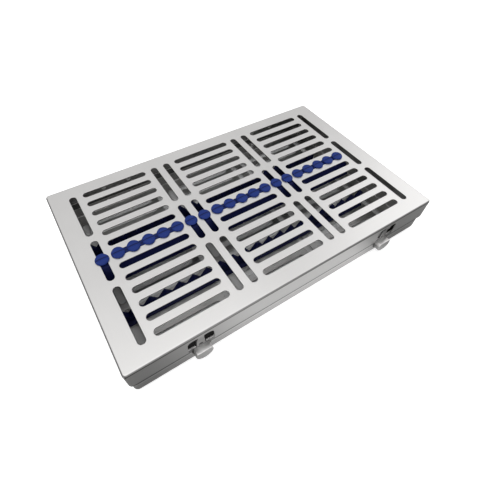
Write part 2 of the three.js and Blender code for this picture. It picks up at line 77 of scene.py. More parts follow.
# Sheet metal
SHEET = 0.9
SHEET_EDGE = 0.16
LID_BEND = 1.7
TRAY_BEND = 2.6
CORNER_EXTRA = 1.2
CORNER_SLIT = 0.5
CORNER_RELIEF = 1.1
TONGUE_BELOW_RIM = 0.9
OVERRUN = 1.0
SEAT_GAP = 0.2
lid_top = lid_high[2]
lid_under = lid_top - SHEET
lid_rim = lid_low[2] + TONGUE_BELOW_RIM
tray_under = tray_low[2]
tray_floor = tray_under + SHEET
tray_rim = tray_high[2]
tray_inside = tray_high[1] - SHEET

# Slots: rows in three bays, and columns in three pieces
SEAT_PITCH = 12.5
SEATS_EACH_RAIL = 10
SEATS_BETWEEN_BAYS = 7
SEATS_IN_BAY = 5
COLUMN_SEATS = (-10, -4, -3, 3, 4, 10)
ROW_PITCH = 12.25
ROWS_EACH_SIDE = 6
TRAY_RAIL_ROW = 3
BRIDGE_ROW = 2
SLOT_WIDTH = 6.0
SLOT_END_ROOM = 3.8
COLUMN_BRIDGE = 6.3
COLUMN_BRIDGE_SHIFT = 0.6
bay_reach = (SEATS_IN_BAY - 1) * SEAT_PITCH / 2
bay_middles = [bay * SEATS_BETWEEN_BAYS * SEAT_PITCH for bay in (-1, 0, 1)]
slot_reach = ROWS_EACH_SIDE * ROW_PITCH + SLOT_WIDTH / 2

# Latches
LATCH_AT = 91.0
ARCH_WIDTH = 20.4
ARCH_BELOW_TOP = 4.6
ARCH_TOP_RADIUS = 4.5
ARCH_FLARE = 2.8
TONGUE_ROOT_WIDTH = 5.0
TONGUE_TIP_WIDTH = 6.6
TONGUE_EDGE = 0.14
TONGUE_JOGGLE_DROP = 3.0
TONGUE_JOGGLE_RUN = 1.7
TONGUE_JOGGLE_EASE = 0.5
TONGUE_JOGGLE_LEAN = 0.05
TONGUE_TIP_RISES = (0.4, 0.1, 0)
TONGUE_TIP_DRAWN = (0, 0.25, 0.7)
TONGUE_SIDE_GAP = 0.45
LIP_RADIUS = 1.3
WINDOW_FLOOR_ROOM = 3.2
WINDOW_FLAT_SHARE = 0.58
BUTTON_GAP = 0.6
BUTTON_EDGE = 0.7
BUTTON_CORNER_SHARE = 0.1
BUTTON_SMOOTH_ANGLE = 35
CATCH_BELOW_RIM = 0.8
CATCH_PLAY = 0.6
CATCH_WINDOW_HEIGHT = 2.2
CATCH_WINDOW_WIDTH = 3.4
arch_top = lid_top - ARCH_BELOW_TOP
tongue_tip = lid_low[2]
catch_window_middle = tray_rim - CATCH_BELOW_RIM - CATCH_PLAY + CATCH_WINDOW_HEIGHT / 2

# Silicone rails
RAIL_EDGE = 0.5
END_LAND = 1.4
TOOTH_TIP = 0.5
TOOTH_EASE = 0.2
TOOTH_STEP = 0.1
SEAT_DEPTH = 8.6
WEB_WIDTH = 5.0
WEB_OVERLAP = 0.5
TIP_WIDTH = 4.4
TIP_RAISED = 1.3
TIP_EDGE = 0.25
FOOT_WIDTH = 12.0
FOOT_HEIGHT = 2.2
FOOT_EDGE = 0.3
FOOT_SIDE_DROP = 0.2
FOOT_SLOPE_RUN = 0.4
FOOT_SLOPE_RISE = 0.1
LID_RAIL_ROOT = 14.0
LID_RAIL_EDGE = 0.8
LID_RAIL_WIDER = 0.7
RIB_EDGE = 0.3
RIB_END_EDGE = 0.1
RIB_ROOT = 1.0
RIB_PROUD = 0.5
RIB_SUNK = 0.2

# Studs: a domed head above the lid, and a flat one under the tray
SHAFT_GAP = 0.3
NECK_EASE = 0.2
NECK_ROOT = 2.0
FLAT_HEAD_RADIUS = 4.6
FLAT_HEAD_HEIGHT = 1.6
FLAT_HEAD_SHARE = 0.86
FLAT_HEAD_ROUND = 0.6
LID_HEAD_RADIUS = 4.9
LID_HEAD_HEIGHT = 2.4
LID_HEAD_SIDE = 0.5
LID_HEAD_UNDER = ((0.1, 0.2), (0.35, 0))
LID_HEAD_FALL = 3
LID_HEAD_SQUARENESS = 1.6
HEAD_POINT = 0.45
HEAD_STRETCH = 0.12
CREASE_DEPTH = 1.0
CREASE_WIDTH = 0.9
neck_radius = SLOT_WIDTH / 2 - SHAFT_GAP

# Hinges
KNUCKLE_RADIUS = 2.0
KNUCKLE_GAP = 0.3
KNUCKLE_EDGE = 0.15
LEAF = 0.8
LEAF_EDGE = 0.12
LEAF_OVERLAP = 1.0
LEAF_STEP = 1.6
LEAF_STEP_EASE = 0.4
HINGE_MIDDLE = 18.0
PIN_HEAD = 0.8
PIN_EDGE_RUN = 0.4
PIN_EDGE_RISE = 0.3
RIVET_RADIUS = 1.5
RIVET_HEAD = 1.2
RIVET_HEAD_RADIUS = 2.6
RIVET_SQUARENESS = 2.2
RIVET_TAIL = 0.7
RIVET_TAIL_EDGE = 0.2
RIVET_TAIL_RADIUS = 2.3

# Steps of the round forms
EDGE_STEPS = 3
STRIP_EDGE_STEPS = 2
RAIL_EDGE_STEPS = 4
BUTTON_EDGE_STEPS = 5
BEVEL_STEPS = 2
BEND_STEPS = 8
INNER_BEND_STEPS = 6
CORNER_STEPS = 8
CURVE_STEPS = 8
SLOT_STEPS = 14
CATCH_STEPS = 8
RELIEF_STEPS = 24
WINDOW_STEPS = 48
WINDOW_CORNER_STEPS = 6
SEAT_STEPS = 22
TURN_STEPS = 40
HEAD_STEPS = 56
HEAD_CROWD = 0.4
DOME_STEPS = 18
FLAT_HEAD_STEPS = 4
KNUCKLE_STEPS = 36
PIN_STEPS = 32
RIVET_STEPS = 28
RIVET_DOME_STEPS = 8


class Surface:
    """Points and faces gathered from grids and flat regions, made into one closed mesh at the end."""

    def __init__(self):
        self.points = []
        self.faces = []
        self.count = 0

    def add(self, points, faces):
        """Takes an array of points and the faces that join them by number."""
        points = np.asarray(points, float).reshape(-1, 3)
        self.points.append(points)
        self.faces += [[corner + self.count for corner in face] for face in faces]
        self.count += len(points)
        return self

    def grid(self, points):
        """Joins a rows by columns by 3 array with quads, closed around its columns."""
        rows, columns = points.shape[:2]
        row, column = np.meshgrid(np.arange(rows - 1), np.arange(columns), indexing="ij")
        near = row * columns + column
        next_column = row * columns + (column + 1) % columns
        quads = np.stack([near, next_column, next_column + columns, near + columns], axis=-1)
        return self.add(points, quads.reshape(-1, 4).tolist())

    def capped(self, points):
        """A grid closed around its columns, with a flat face at its first and last rows."""
        columns = points.shape[1]
        self.grid(points)
        self.add(points[0], [list(range(columns))[::-1]])
        return self.add(points[-1], [list(range(columns))])

    def mesh(self, name):
        """Welds the points that meet and turns every face outwards."""
        made = bpy.data.meshes.new(name)
        made.from_pydata((np.concatenate(self.points) * MM).tolist(), [], self.faces)
        work = bmesh.new()
        work.from_mesh(made)
        bmesh.ops.remove_doubles(work, verts=work.verts, dist=WELD)
        bmesh.ops.dissolve_degenerate(work, edges=work.edges, dist=WELD)
        bmesh.ops.recalc_face_normals(work, faces=work.faces)
        work.to_mesh(made)
        work.free()
        return made


def object_of(name, data):
    made = bpy.data.objects.new(name, data)
    bpy.context.scene.collection.objects.link(made)
    return made


def shaped(target, modifier_type, **settings):
    """Applies one modifier to an object and keeps the resulting mesh."""
    modifier = target.modifiers.new(modifier_type, modifier_type)
    for key, value in settings.items():
        setattr(modifier, key, value)
    bpy.context.view_layer.update()
    graph = bpy.context.evaluated_depsgraph_get()
    result = bpy.data.meshes.new_from_object(target.evaluated_get(graph))
    target.modifiers.clear()
    target.data = result
    return target


def piece(name, way, shapes, capped=True):
    """An object made of closed shapes. Grids that stay open at their ends are capped there."""
    surface = Surface()
    for points in shapes:
        if capped:
            surface.capped(points)
        else:
            surface.grid(points)
    return object_of(name + way, surface.mesh(name))


def combined(target, shapes, operation, capped=True):
    """Cuts closed shapes away from an object, or joins them on."""
    tool = piece("tool", "", shapes, capped)
    shaped(target, "BOOLEAN", operation=operation, object=tool, solver="EXACT")
    bpy.data.objects.remove(tool)


def quarter(steps):
    return np.linspace(0, math.pi / 2, steps + 1)


def directions_at(angle):
    return np.stack([np.cos(angle), np.sin(angle)], axis=1)


def four_corners(steps):
    """The angles of four quarter turns, and the signs of the corner that each angle lies at."""
    angle = np.concatenate([quarter(steps) + side * math.pi / 2 for side in range(4)])
    sign_x = np.repeat([1, -1, -1, 1], steps + 1)
    sign_y = np.repeat([1, 1, -1, -1], steps + 1)
    return angle, sign_x, sign_y


def eased_edge(radius, steps):
    """A quarter circle as pairs of what is drawn in from the side and the drop from the end."""
    angle = quarter(steps)
    return np.stack([radius * (1 - np.sin(angle)), radius * (1 - np.cos(angle))], axis=1)


def rectangle_loop(half_x, half_y, corner):
    """Corner centres and outward directions round a rectangle, anticlockwise from its +X side."""
    angle, sign_x, sign_y = four_corners(CORNER_STEPS)
    centres = np.stack([sign_x * (half_x - corner), sign_y * (half_y - corner)], axis=1)
    return centres, directions_at(angle)


def slot_loop(x, y, length_x, length_y, steps=SLOT_STEPS):
    """Centres and outward directions round a slot with half-circle ends."""
    radius = min(length_x, length_y) / 2
    reach = np.array([length_x / 2 - radius, length_y / 2 - radius])
    start = -math.pi / 2 if length_x > length_y else 0
    half = np.linspace(0, math.pi, steps + 1)
    angle = np.concatenate([start + half, start + math.pi + half])
    side = np.repeat([1, -1], steps + 1)
    centres = np.array([x, y]) + side[:, None] * reach
    return centres, directions_at(angle), radius


def carried(centres, directions, profile):
    """A profile of radius and height pairs carried round a loop: centre plus radius times direction."""
    radii, heights = np.asarray(profile, float).T
    flat = centres[None] + radii[:, None, None] * directions[None]
    levels = np.broadcast_to(heights[:, None, None], flat.shape[:2] + (1,))
    return np.concatenate([flat, levels], axis=2)


def slot_pattern():
    """Every slot's middle and lengths, the same in the lid's top and the tray's floor."""
    slots = []
    for middle in bay_middles:
        for row in range(-ROWS_EACH_SIDE, ROWS_EACH_SIDE + 1):
            slots.append((middle, row * ROW_PITCH, 2 * (bay_reach + SLOT_END_ROOM), SLOT_WIDTH))
    bridge = BRIDGE_ROW * ROW_PITCH - COLUMN_BRIDGE_SHIFT
    outer_start = bridge + COLUMN_BRIDGE / 2
    for seat in COLUMN_SEATS:
        slots.append((seat * SEAT_PITCH, 0, SLOT_WIDTH, 2 * bridge - COLUMN_BRIDGE))
        for side in (-1, 1):
            middle = side * (slot_reach + outer_start) / 2
            slots.append((seat * SEAT_PITCH, middle, SLOT_WIDTH, slot_reach - outer_start))
    return slots


def flat_region(loops):
    """Triangles over the inside of the first loop and the outside of the others, in X and Y.

    Each of the others is convex, so a triangle lies in it only if its corners are all on it."""
    points = np.concatenate(loops)
    owner = np.repeat(np.arange(len(loops)), [len(loop) for loop in loops])
    numbers = np.arange(len(points))
    first = np.concatenate([[0], np.cumsum([len(loop) for loop in loops])])
    following = numbers + 1
    following[first[1:] - 1] = first[:-1]
    edges = np.stack([numbers, following], axis=1).tolist()
    inside_only = 1
    found = delaunay_2d_cdt([Vector(point) for point in points], edges, [], inside_only, WELD)
    places, triangles, sources = found[0], found[2], found[3]
    owners = np.array([owner[source[0]] for source in sources])
    corners = owners[np.array([list(triangle) for triangle in triangles])]
    kept = (corners.min(1) != corners.max(1)) | (corners.max(1) == 0)
    return np.array([tuple(place) for place in places]), [list(triangles[i]) for i in np.flatnonzero(kept)]


def folded_sheet(name, half_x, half_y, bend, closed, rim):
    """An open box of one sheet: a slotted panel whose edge turns over a bend into four walls.

    The wall's section runs over the outer bend, down the wall, round the rim and back up inside.
    It is carried round a rectangle whose corner centres all its offsets share. Each slot has its
    own section, straight with both its edges rounded, carried round the slot. Both flat faces are
    triangulated between these loops."""
    up = math.copysign(1, closed - rim)
    corner = bend + CORNER_EXTRA
    outer = eased_edge(bend, BEND_STEPS)
    inner = eased_edge(bend - SHEET, INNER_BEND_STEPS)[::-1]
    edge = eased_edge(SHEET_EDGE, EDGE_STEPS)
    profile = [(corner - drawn, closed - up * drop) for drawn, drop in outer]
    profile += [(corner - drawn, rim + up * drop) for drawn, drop in edge[::-1]]
    profile += [(corner - SHEET + drawn, rim + up * drop) for drawn, drop in edge]
    profile += [(corner - SHEET - drawn, closed - up * (SHEET + drop)) for drawn, drop in inner]
    centres, directions = rectangle_loop(half_x, half_y, corner)
    wall = carried(centres, directions, profile)
    surface = Surface().grid(wall)
    faces = {closed: [wall[0, :, :2]], closed - up * SHEET: [wall[-1, :, :2]]}
    for x, y, length_x, length_y in slot_pattern():
        slot_centres, slot_directions, radius = slot_loop(x, y, length_x, length_y)
        section = [(radius + drawn, closed - up * drop) for drawn, drop in edge]
        section += [(radius + drawn, closed - up * (SHEET - drop)) for drawn, drop in edge[::-1]]
        hole = carried(slot_centres, slot_directions, section)
        surface.grid(hole)
        faces[closed].append(hole[0, :, :2])
        faces[closed - up * SHEET].append(hole[-1, :, :2])
    for level, loops in faces.items():
        points, triangles = flat_region(loops)
        surface.add(np.column_stack([points, np.full(len(points), level)]), triangles)
    return object_of(name, surface.mesh(name))


def curve_corner(start, control, end, steps=CURVE_STEPS):
    """A quadratic curve: start times (1-t) squared, twice control times t(1-t), end times t squared."""
    t = np.linspace(0, 1, steps + 1)[:, None]
    start, control, end = np.array(start, float), np.array(control, float), np.array(end, float)
    return (1 - t) ** 2 * start + 2 * t * (1 - t) * control + t**2 * end


def upright(outline, y, x=0):
    """An outline in X and Z as points at one place along Y, moved along X."""
    return np.column_stack([outline[:, 0] + x, np.full(len(outline), y), outline[:, 1]])


def through_wall(outline, low, high):
    """A prism: an outline in X and Z carried along Y."""
    return np.array([upright(outline, y) for y in (low, high)])


def at_latches(shape):
    """A shape made around X = 0, at the left and at the right latch."""
    return [shape + [side * LATCH_AT, 0, 0] for side in (-1, 1)]


def front_wall(reach):
    """Where a cut through a sheet's front wall starts and ends along Y."""
    return -reach - OVERRUN, SHEET + OVERRUN - reach


def notch_outline(width, mouth, end, flare, end_radius):
    """A notch with flared corners at its mouth and round ones at its end, around X = 0."""
    side = width / 2
    inwards = math.copysign(1, end - mouth)
    right = [
        np.array([[side + flare, mouth - inwards * OVERRUN]]),
        curve_corner((side + flare, mouth), (side, mouth), (side, mouth + inwards * flare)),
    ]
    if end_radius > 0:
        start = (side, end - inwards * end_radius)
        right.append(curve_corner(start, (side, end), (side - end_radius, end)))
    else:
        right.append(np.array([[side, end]]))
    right = np.concatenate(right)
    return np.concatenate([right, (right * [-1, 1])[::-1]])


def window_outline(drawn_in, corner_ease=0):
    """A circle cut flat on top, drawn in by a gap, with its two corners eased by a share."""
    low = tray_under + WINDOW_FLOOR_ROOM
    full_radius = (tongue_tip - low) / (1 + WINDOW_FLAT_SHARE)
    centre = low + full_radius
    radius = full_radius - drawn_in
    flat = math.asin((tongue_tip - drawn_in - centre) / radius)
    angle = np.linspace(math.pi - flat, 2 * math.pi + flat, WINDOW_STEPS)
    arc = np.stack([radius * np.cos(angle), centre + radius * np.sin(angle)], axis=1)
    if corner_ease == 0:
        return arc
    top = arc[0, 1]
    corner = arc[-1]
    before = arc[arc[:, 1] < top - corner_ease * radius]
    eased = corner - [corner_ease * radius, 0]
    right = curve_corner(before[-1], corner, eased, WINDOW_CORNER_STEPS)
    left = (right * [-1, 1])[::-1]
    return np.concatenate([before, right[1:], left[:-1]])


def unit(vectors):
    return vectors / np.linalg.norm(vectors, axis=1, keepdims=True)


def strip(path, widths, thickness, edge):
    """A flat strip carried along a path of Y and Z stations, with rounded long edges.

    Each station's section is a rounded rectangle, its width across X and its thickness along the
    path's normal. The section's corner centres move out with the width, and it is stretched at a
    turn of the path, to twice at the most."""
    least_cosine = 0.5
    path = np.asarray(path, float)
    tangent = np.gradient(path, axis=0)
    before = np.vstack([tangent[:1], np.diff(path, axis=0)])
    after = np.vstack([np.diff(path, axis=0), tangent[-1:]])
    along = unit(unit(before) + unit(after))
    stretch = 1 / np.maximum(np.abs((along * unit(after)).sum(1)), least_cosine)
    normal = np.stack([-along[:, 1], along[:, 0]], axis=1)
    angle, sign_u, sign_v = four_corners(STRIP_EDGE_STEPS)
    widths = np.asarray(widths, float)
    across = sign_u * (widths[:, None] / 2 - edge) + edge * np.cos(angle)
    through = sign_v * (thickness / 2 - edge) + edge * np.sin(angle)
    through = through[None] * stretch[:, None]
    sides = path[:, None] + through[..., None] * normal[:, None]
    return np.concatenate([across[..., None], sides], axis=2)


def tongue():
    """The strip that hangs in an arch and steps in to the tray's wall."""
    front = lid_low[1] + SHEET / 2
    back = -(tray_inside + SHEET) + SHEET / 2
    joggle_start = arch_top - TONGUE_JOGGLE_DROP
    joggle_end = joggle_start - TONGUE_JOGGLE_RUN
    taper = catch_window_middle + TONGUE_TIP_WIDTH / 2
    heights = [arch_top + SHEET, joggle_start + TONGUE_JOGGLE_EASE, joggle_start]
    heights += [joggle_end, joggle_end - TONGUE_JOGGLE_EASE, taper]
    heights += [tongue_tip + rise for rise in TONGUE_TIP_RISES]
    places = [front, front, front + TONGUE_JOGGLE_LEAN, back - TONGUE_JOGGLE_LEAN]
    places += [back] * (len(heights) - len(places))
    widths = np.interp(heights, [taper, joggle_start], [TONGUE_TIP_WIDTH, TONGUE_ROOT_WIDTH])
    widths[-len(TONGUE_TIP_DRAWN):] -= TONGUE_TIP_DRAWN
    return strip(np.column_stack([places, heights]), widths, SHEET, TONGUE_EDGE)


def catch_window():
    """The prism that cuts a tongue's catch window: a level slot carried through the tongue."""
    lengths = CATCH_WINDOW_WIDTH, CATCH_WINDOW_HEIGHT
    centres, directions, radius = slot_loop(0, catch_window_middle, *lengths, CATCH_STEPS)
    return through_wall(centres + radius * directions, -lid_high[1], OVERRUN - tray_inside)


def corner_cuts():
    """Open slits beside the front and back skirts, each ending in a round relief under the top."""
    cuts = []
    middle = lid_high[1] - SHEET - CORNER_SLIT / 2
    relief = lid_top - LID_BEND - CORNER_RELIEF / 2
    edge = math.asin(CORNER_SLIT / 2 / CORNER_RELIEF)
    arc = np.linspace(-math.pi / 2 + edge, 3 * math.pi / 2 - edge, RELIEF_STEPS)
    keyhole = np.column_stack([CORNER_RELIEF * np.cos(arc), relief + CORNER_RELIEF * np.sin(arc)])
    mouth = [[-CORNER_SLIT / 2, lid_rim - OVERRUN], [CORNER_SLIT / 2, lid_rim - OVERRUN]]
    outline = np.concatenate([keyhole, mouth])
    for side_x in (-1, 1):
        reach = sorted([side_x * (lid_high[0] - SHEET - OVERRUN), side_x * (lid_high[0] + OVERRUN)])
        for side_y in (-1, 1):
            across = outline[:, 0] + side_y * middle
            rows = [np.column_stack([np.full(len(outline), x), across, outline[:, 1]]) for x in reach]
            cuts.append(np.array(rows))
    return cuts


def smoothed(target, angle=SMOOTH_ANGLE):
    """Shades a piece smoothly, and sharply where two faces turn by more than an angle in degrees."""
    target.data.polygons.foreach_set("use_smooth", np.ones(len(target.data.polygons), bool))
    target.data.set_sharp_from_angle(angle=math.radians(angle))
    return target


def edges_broken(target, width):
    """A narrow bevel over every edge that turns by more than SHARP_ANGLE."""
    sharp = {"limit_method": "ANGLE", "angle_limit": math.radians(SHARP_ANGLE)}
    shaped(target, "BEVEL", width=width * MM, segments=BEVEL_STEPS, use_clamp_overlap=False, **sharp)
    return smoothed(target, SHARP_ANGLE)


def edges_finished(target):
    """Breaks the sharp cut edges and lets the large faces set the shading."""
    edges_broken(target, SHEET_EDGE)
    return shaped(target, "WEIGHTED_NORMAL", keep_sharp=True, weight=NORMAL_WEIGHT)


def lid_sheet():
    """The folded lid, its corners slit and its arches cut, with a windowed tongue in each arch."""
    lid = folded_sheet("lid_sheet", lid_high[0], lid_high[1], LID_BEND, lid_top, lid_rim)
    outline = notch_outline(ARCH_WIDTH, lid_rim, arch_top, ARCH_FLARE, ARCH_TOP_RADIUS)
    arch = through_wall(outline, *front_wall(lid_high[1]))
    combined(lid, corner_cuts() + at_latches(arch), "DIFFERENCE")
    combined(lid, at_latches(tongue()), "UNION")
    combined(lid, at_latches(catch_window()), "DIFFERENCE")
    return edges_finished(lid)


def tray_sheet():
    """The folded tray, with each button's window and the throat above it cut in its front wall."""
    tray = folded_sheet("tray_sheet", tray_high[0], tray_high[1], TRAY_BEND, tray_under, tray_rim)
    throat_width = TONGUE_TIP_WIDTH + 2 * TONGUE_SIDE_GAP
    throat = notch_outline(throat_width, tray_rim, tongue_tip - OVERRUN, LIP_RADIUS, 0)
    for outline in (window_outline(0), throat):
        cut = through_wall(outline, *front_wall(tray_high[1]))
        combined(tray, at_latches(cut), "DIFFERENCE")
    return edges_finished(tray)


def rail_span(side):
    """A rail length's seats, and its ends half a pitch past them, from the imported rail."""
    first = -SEATS_EACH_RAIL if side < 0 else 0
    seats = (first + np.arange(SEATS_EACH_RAIL)) * SEAT_PITCH
    low, high = box_of("lid_rail_left" if side < 0 else "lid_rail_right")
    return seats, low[0], high[0]


def toothed_height(x, seats, start, end, tips):
    """Tips less a straight-sided hollow at each seat, eased by a moving mean along the rail."""
    fine = np.linspace(start, end, int((end - start) / TOOTH_STEP) + 1)
    height = np.full(len(fine), tips)
    plain = (SEAT_PITCH - TOOTH_TIP) / 2
    for seat in seats:
        left = max(seat - plain, start + END_LAND)
        right = min(seat + plain, end - END_LAND)
        across = np.clip((fine - left) / (right - left), 0, 1)
        height -= SEAT_DEPTH * (1 - np.abs(2 * across - 1))
    spread = int(TOOTH_EASE / TOOTH_STEP)
    padded = np.concatenate([np.full(spread, tips), height, np.full(spread, tips)])
    eased = np.convolve(padded, np.full(2 * spread + 1, 1 / (2 * spread + 1)), "valid")
    return np.interp(x, fine, eased)


def moulded_bar(x, start, end, section_of, edge):
    """A bar along X whose section is drawn in over a quarter circle at both ends.

    section_of gives, for an array of stations and what each is drawn in by, the section's Y and Z."""
    ease = eased_edge(edge, RAIL_EDGE_STEPS)
    stations = np.concatenate([start + ease[:, 1], x, end - ease[::-1, 1]])
    drawn = np.concatenate([ease[:, 0], np.zeros(len(x)), ease[::-1, 0]])
    y, z = section_of(stations, drawn)
    return np.stack([np.broadcast_to(stations[:, None], y.shape), y, z], axis=2)


def web_bar(seats, start, end, base, tips):
    """The toothed web: upright below the seats, and drawn in on a straight line to narrow tips."""
    x = np.arange(start + RAIL_EDGE, end - RAIL_EDGE, SEAT_PITCH / SEAT_STEPS)
    shoulder = tips - SEAT_DEPTH - TOOTH_TIP
    sides = np.array([-1, 1, 1, 1, 1, -1, -1, -1])

    def section(stations, drawn):
        top = toothed_height(stations, seats, start, end, tips) - drawn
        half = WEB_WIDTH / 2 - drawn
        taper = (WEB_WIDTH - TIP_WIDTH) / 2 * (top - shoulder) / (tips - shoulder)
        inner = half - taper
        low = np.full(len(stations), base) + drawn
        level = np.full(len(stations), shoulder)
        widths = [half, half, half, inner, inner - TIP_EDGE, inner - TIP_EDGE, inner, half]
        heights = [low, low, level, top - TIP_EDGE, top, top, top - TIP_EDGE, level]
        return np.stack(widths, axis=1) * sides, np.stack(heights, axis=1)

    return moulded_bar(x, start, end, section, RAIL_EDGE)


def plain_bar(start, end, outline, edge):
    """A bar whose section is a convex outline, shrunk towards its middle at the rounded ends.

    The section is the same all along, so it has no stations between the ends."""
    outline = np.asarray(outline, float)
    middle = outline.mean(0)
    span = np.abs(outline - middle).max(0)

    def section(stations, drawn):
        scale_y = 1 - drawn / span[0]
        scale_z = 1 - drawn / span[1]
        y = middle[0] + scale_y[:, None] * (outline[:, 0] - middle[0])
        z = middle[1] + scale_z[:, None] * (outline[:, 1] - middle[1])
        return y, z

    return moulded_bar(np.empty(0), start, end, section, edge)


def turned(profile, x, y, steps=TURN_STEPS, crowd=0):
    """A profile of radius and height pairs, turned about an upright axis.

    The angle is t less crowd times the sine of 2t, which brings the steps closer along X."""
    even = np.linspace(0, 2 * math.pi, steps, endpoint=False)
    directions = directions_at(even - crowd * np.sin(2 * even))
    return carried(np.broadcast_to([x, y], directions.shape), directions, profile)


def turned_along_x(profile, y, z, steps):
    """A profile of radius and length pairs, turned about a line along X."""
    return np.roll(turned(profile, y, z, steps), 1, axis=-1)


def lens_shaped(points, x, head_face):
    """Draws a head out along X, stretches it by a share across, and presses a crease along it.

    It is drawn out by the fourth power of the direction's cosine times the radius share squared.
    The crease is a narrow valley along Y = 0, exp(-(y / width) squared) deep. It fades at the rim
    by one less the sixth power of the radius share."""
    moved = points.copy()
    along, across = points[..., 0] - x, points[..., 1]
    radius = np.hypot(along, across)
    is_head = points[..., 2] >= head_face
    point = (np.abs(along) / np.maximum(radius, WELD)) ** 4 * np.minimum(radius / LID_HEAD_RADIUS, 1) ** 2
    moved[..., 0] += np.where(is_head, np.sign(along) * HEAD_POINT * point, 0)
    moved[..., 1] += np.where(is_head, HEAD_STRETCH * across, 0)
    raised = np.clip((points[..., 2] - head_face) / LID_HEAD_HEIGHT, 0, 1)
    fade = np.clip(1 - (radius / LID_HEAD_RADIUS) ** 6, 0, 1)
    moved[..., 2] -= CREASE_DEPTH * np.exp(-((across / CREASE_WIDTH) ** 2)) * raised * fade
    return moved


def domed_stud(x, root):
    """A domed head: its height falls as one less the cube of the radius share, to the power 1/1.6."""
    head_face = lid_top + SEAT_GAP
    side = head_face + LID_HEAD_SIDE
    share = np.linspace(0, 1, DOME_STEPS + 1)[:-1]
    fall = (1 - share**LID_HEAD_FALL) ** (1 / LID_HEAD_SQUARENESS)
    dome = side + (LID_HEAD_HEIGHT - LID_HEAD_SIDE) * fall
    profile = list(zip(LID_HEAD_RADIUS * share, dome)) + [(LID_HEAD_RADIUS, side)]
    profile += [(LID_HEAD_RADIUS - drawn, head_face + rise) for drawn, rise in LID_HEAD_UNDER]
    profile += [(neck_radius + NECK_EASE, head_face), (neck_radius, head_face - NECK_EASE)]
    profile += [(neck_radius, root), (0, root)]
    return lens_shaped(turned(profile, x, 0, HEAD_STEPS, HEAD_CROWD), x, head_face)


def flat_stud(x, root):
    """A round neck with a flat head under the tray, a quarter of an ellipse round its lower edge."""
    face = tray_under - SEAT_GAP
    low = face - FLAT_HEAD_HEIGHT
    flat = FLAT_HEAD_RADIUS * FLAT_HEAD_SHARE
    profile = [(0, low)]
    for angle in quarter(FLAT_HEAD_STEPS):
        radius = flat + (FLAT_HEAD_RADIUS - flat) * math.sin(angle)
        profile.append((radius, low + FLAT_HEAD_ROUND * (1 - math.cos(angle))))
    profile += [(FLAT_HEAD_RADIUS, face - NECK_EASE), (FLAT_HEAD_RADIUS - NECK_EASE, face)]
    profile += [(neck_radius, face), (neck_radius, root), (0, root)]
    return turned(profile, x, 0)


def ribs(start, end, low, high):
    """The bars that join the necks of one bay, where this rail length reaches them."""
    side, top = neck_radius, neck_radius - RIB_EDGE
    section = [(-side, low), (side, low), (side, high - RIB_EDGE), (top, high), (-top, high)]
    section += [(-side, high - RIB_EDGE)]
    bars = []
    for middle in bay_middles:
        left, right = max(middle - bay_reach, start), min(middle + bay_reach, end)
        if right > left:
            bars.append(plain_bar(left, right, section, RIB_END_EDGE))
    return bars


def tray_rail(name, side, row):
    """A foot with a toothed web on it, and ribs and studs down through the tray's slots."""
    seats, start, end = rail_span(side)
    base = tray_floor + SEAT_GAP
    tips = box_of(name)[1][2] + TIP_RAISED
    shoulder = base + FOOT_HEIGHT / 2
    half = FOOT_WIDTH / 2
    foot = [(FOOT_EDGE - half, base), (half - FOOT_EDGE, base), (half, base + FOOT_EDGE)]
    foot += [(half, shoulder - FOOT_SIDE_DROP), (half - FOOT_SLOPE_RUN, shoulder + FOOT_SLOPE_RISE)]
    foot += [(WEB_WIDTH / 2 - WEB_OVERLAP, base + FOOT_HEIGHT)]
    foot += [(-y, z) for y, z in foot[:1:-1]]
    rail = piece(name, "_moulded", [web_bar(seats, start, end, base + WEB_OVERLAP, tips)])
    combined(rail, [plain_bar(start, end, foot, RAIL_EDGE)], "UNION")
    combined(rail, ribs(start, end, tray_under - RIB_PROUD, shoulder), "UNION")
    combined(rail, [flat_stud(x, shoulder) for x in seats], "UNION", capped=False)
    rail.data.transform(Matrix.Translation(Vector((0, row * ROW_PITCH, 0)) * MM))
    return smoothed(rail)


def lid_rail(name, side):
    """A pad with slanting flanks under the lid, and ribs and domed studs up through its slots."""
    seats, start, end = rail_span(side)
    low, high = box_of(name)
    top, bottom = lid_under - SEAT_GAP, low[2]
    half = high[1] + LID_RAIL_WIDER
    edge = LID_RAIL_EDGE
    section = [(-LID_RAIL_ROOT / 2, top), (-half, bottom + 2 * edge), (-half, bottom + edge)]
    section += [(-half + edge / 4, bottom + edge / 3), (-half + edge, bottom)]
    section += [(-y, z) for y, z in section[::-1]]
    rail = piece(name, "_moulded", [plain_bar(start, end, section[::-1], RAIL_EDGE)])
    combined(rail, ribs(start, end, top - RIB_ROOT, lid_top - RIB_SUNK), "UNION")
    combined(rail, [domed_stud(x, top - NECK_ROOT) for x in seats], "UNION", capped=False)
    return smoothed(rail)


def push_button(name, side):
    """The window's outline drawn in by a gap, carried forwards to a broken front edge."""
    low, high = box_of(name)
    back, front = high[1], low[1]
    ease = eased_edge(BUTTON_EDGE, BUTTON_EDGE_STEPS)
    rows = [upright(window_outline(BUTTON_GAP, BUTTON_CORNER_SHARE), back, side * LATCH_AT)]
    for drawn, drop in ease[::-1]:
        outline = window_outline(BUTTON_GAP + drawn, BUTTON_CORNER_SHARE)
        rows.append(upright(outline, front + drop, side * LATCH_AT))
    return smoothed(piece(name, "_turned", [np.array(rows)]), BUTTON_SMOOTH_ANGLE)


